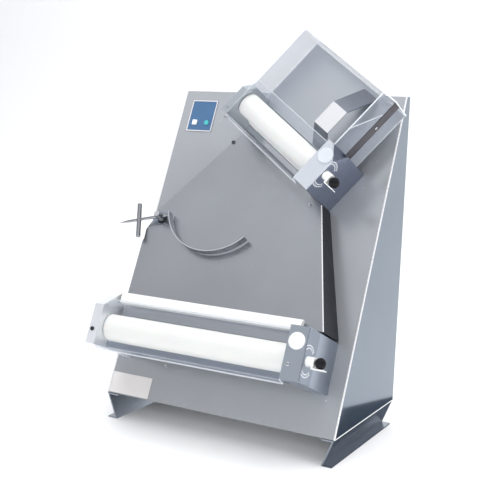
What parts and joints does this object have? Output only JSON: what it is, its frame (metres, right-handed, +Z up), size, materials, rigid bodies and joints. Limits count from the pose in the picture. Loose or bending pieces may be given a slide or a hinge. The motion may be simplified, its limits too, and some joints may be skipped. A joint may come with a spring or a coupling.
{
  "type": "dough sheeter",
  "caption": "Counter-top dough sheeter: wedge-shaped stainless body, inclined feed rollers with a clear hopper, a slide with a weighted dough arm, and level finishing rollers.",
  "frame": {"origin": "middle of the bounding box's bottom face, on the surface the feet stand on", "axes": "+Z up; -Y is the front, the side the sloping panel faces; +X to the right seen from the front, along the lower rollers"},
  "size_m": [0.5612, 0.3968, 0.8017],
  "materials": {
    "aluminium": "satin",
    "black_painted_steel": "dark satin paint",
    "black_plastic": "gloss",
    "blue_film": "satin film",
    "cast_iron": "as cast",
    "clear_polycarbonate": "clear, polished",
    "polished_steel": "polished",
    "rubber": "matt",
    "stainless_steel": "satin brushed",
    "teal_plastic": "satin",
    "white_film": "satin film",
    "white_polyethylene": "smooth"
  },
  "bodies": {
    "body": {"arm_bracket": "stainless_steel", "arm_pivot_pin": "polished_steel", "base_plate": "stainless_steel", "clear_hopper": "clear_polycarbonate", "control_label": "blue_film", "dough_slide": "stainless_steel", "feed_deflector": "polished_steel", "foot_rail_left": "stainless_steel", "foot_rail_right": "stainless_steel", "front_panel": "stainless_steel", "gear_motor": "cast_iron", "hopper_back_plate": "stainless_steel", "hopper_divider": "clear_polycarbonate", "hopper_side_plate": "stainless_steel", "infeed_bar": "white_polyethylene", "info_label": "white_film", "lower_chain": "polished_steel", "lower_front_plate": "aluminium", "lower_guard": "clear_polycarbonate", "lower_left_head": "aluminium", "lower_right_head": "stainless_steel", "lower_scraper": "polished_steel", "lower_sight_cap": "white_polyethylene", "motor_bracket": "stainless_steel", "power_inlet": "black_plastic", "rear_cover": "stainless_steel", "side_panel_left": "stainless_steel", "side_panel_right": "stainless_steel", "slide_wall_left": "black_painted_steel", "slide_wall_right": "black_painted_steel", "switch_block": "black_plastic", "top_cap": "stainless_steel", "upper_belt": "rubber", "upper_chain": "polished_steel", "upper_front_plate": "aluminium", "upper_guard": "clear_polycarbonate", "upper_left_head": "aluminium", "upper_right_head": "stainless_steel", "upper_scraper": "polished_steel", "upper_sight_cap": "white_polyethylene"},
    "drive_rotor": {"drive_shaft": "polished_steel"},
    "layshaft_rotor": {"upper_layshaft": "polished_steel"},
    "arm": {"dough_arm": "aluminium", "arm_counterweight": "polished_steel"},
    "start_button": {"start_button": "white_film"},
    "stop_button": {"stop_button": "teal_plastic"},
    "lower_rear_rotor": {"lower_rear_shaft": "polished_steel", "lower_rear_roller": "white_polyethylene"},
    "lower_carriage": {"lower_front_axle": "polished_steel"},
    "lower_front_rotor": {"lower_front_roller": "white_polyethylene", "lower_front_gear": "stainless_steel"},
    "lower_knob": {"lower_gap_knob": "white_polyethylene"},
    "lower_plunger": {"lower_knob_ball": "black_plastic"},
    "upper_rear_rotor": {"upper_rear_shaft": "polished_steel", "upper_rear_roller": "white_polyethylene"},
    "upper_carriage": {"upper_front_axle": "polished_steel"},
    "upper_front_rotor": {"upper_front_roller": "white_polyethylene", "upper_front_gear": "stainless_steel"},
    "upper_knob": {"upper_gap_knob": "white_polyethylene"},
    "upper_plunger": {"upper_knob_ball": "black_plastic"}
  },
  "joints": [
    {"name": "lower_rear_spin", "type": "hinge", "parent": "body", "child": "lower_rear_rotor", "pos_m": [-0.01321, -0.09637, 0.17637], "axis": [1, 0, 0], "continuous": true},
    {"name": "lower_gap_slide", "type": "slide", "parent": "body", "child": "lower_carriage", "axis": [0, -0.8788, 0.4772], "range_m": [0, 0.0035]},
    {"name": "lower_front_spin", "type": "hinge", "parent": "lower_carriage", "child": "lower_front_rotor", "pos_m": [-0.01321, -0.14373, 0.20209], "axis": [1, 0, 0], "continuous": true},
    {"name": "lower_knob_turn", "type": "hinge", "parent": "body", "child": "lower_knob", "pos_m": [0.22579, -0.16623, 0.20933], "axis": [1, 0, 0], "range_deg": [0, 90]},
    {"name": "lower_knob_pull", "type": "slide", "parent": "lower_knob", "child": "lower_plunger", "axis": [1, 0, 0], "range_m": [0, 0.004], "stiffness_N_per_m": 800, "springref_m": -0.002},
    {"name": "upper_rear_spin", "type": "hinge", "parent": "body", "child": "upper_rear_rotor", "pos_m": [0.0497, 0.08342, 0.56812], "axis": [0.8211, -0.2314, -0.5217], "continuous": true},
    {"name": "upper_gap_slide", "type": "slide", "parent": "body", "child": "upper_carriage", "axis": [0.0456, -0.8846, 0.4641], "range_m": [0, 0.0035]},
    {"name": "upper_front_spin", "type": "hinge", "parent": "upper_carriage", "child": "upper_front_rotor", "pos_m": [0.05196, 0.03964, 0.59109], "axis": [0.8211, -0.2314, -0.5217], "continuous": true},
    {"name": "upper_knob_turn", "type": "hinge", "parent": "body", "child": "upper_knob", "pos_m": [0.17414, -0.01224, 0.5232], "axis": [0.8211, -0.2314, -0.5217], "range_deg": [0, 90]},
    {"name": "upper_knob_pull", "type": "slide", "parent": "upper_knob", "child": "upper_plunger", "axis": [0.8211, -0.2314, -0.5217], "range_m": [0, 0.004], "stiffness_N_per_m": 800, "springref_m": -0.002},
    {"name": "drive_spin", "type": "hinge", "parent": "body", "child": "drive_rotor", "pos_m": [0.10289, 0.08245, 0.202], "axis": [1, 0, 0], "continuous": true},
    {"name": "layshaft_spin", "type": "hinge", "parent": "body", "child": "layshaft_rotor", "pos_m": [0.10806, 0.1466, 0.4904], "axis": [0.8211, -0.2314, -0.5217], "continuous": true},
    {"name": "arm_swing", "type": "hinge", "parent": "body", "child": "arm", "pos_m": [-0.19011, -0.01687, 0.4144], "axis": [0, -0.8488, 0.5287], "range_deg": [-30, 0]},
    {"name": "start_press", "type": "slide", "parent": "body", "child": "start_button", "axis": [0, 0.9141, -0.4055], "range_m": [0, 0.0013], "stiffness_N_per_m": 800, "springref_m": -0.001},
    {"name": "stop_press", "type": "slide", "parent": "body", "child": "stop_button", "axis": [0, 0.9141, -0.4055], "range_m": [0, 0.0013], "stiffness_N_per_m": 800, "springref_m": -0.001}
  ],
  "couplings": [
    {"joint": "lower_knob_turn", "follows": "lower_gap_slide", "rad_per_m": 443.81},
    {"joint": "upper_knob_turn", "follows": "upper_gap_slide", "rad_per_m": 443.81},
    {"joint": "drive_spin", "follows": "lower_rear_spin", "ratio": 1},
    {"joint": "lower_front_spin", "follows": "lower_rear_spin", "ratio": -1},
    {"joint": "layshaft_spin", "follows": "lower_rear_spin", "ratio": 1},
    {"joint": "upper_rear_spin", "follows": "lower_rear_spin", "ratio": 1},
    {"joint": "upper_front_spin", "follows": "lower_rear_spin", "ratio": -1}
  ]
}
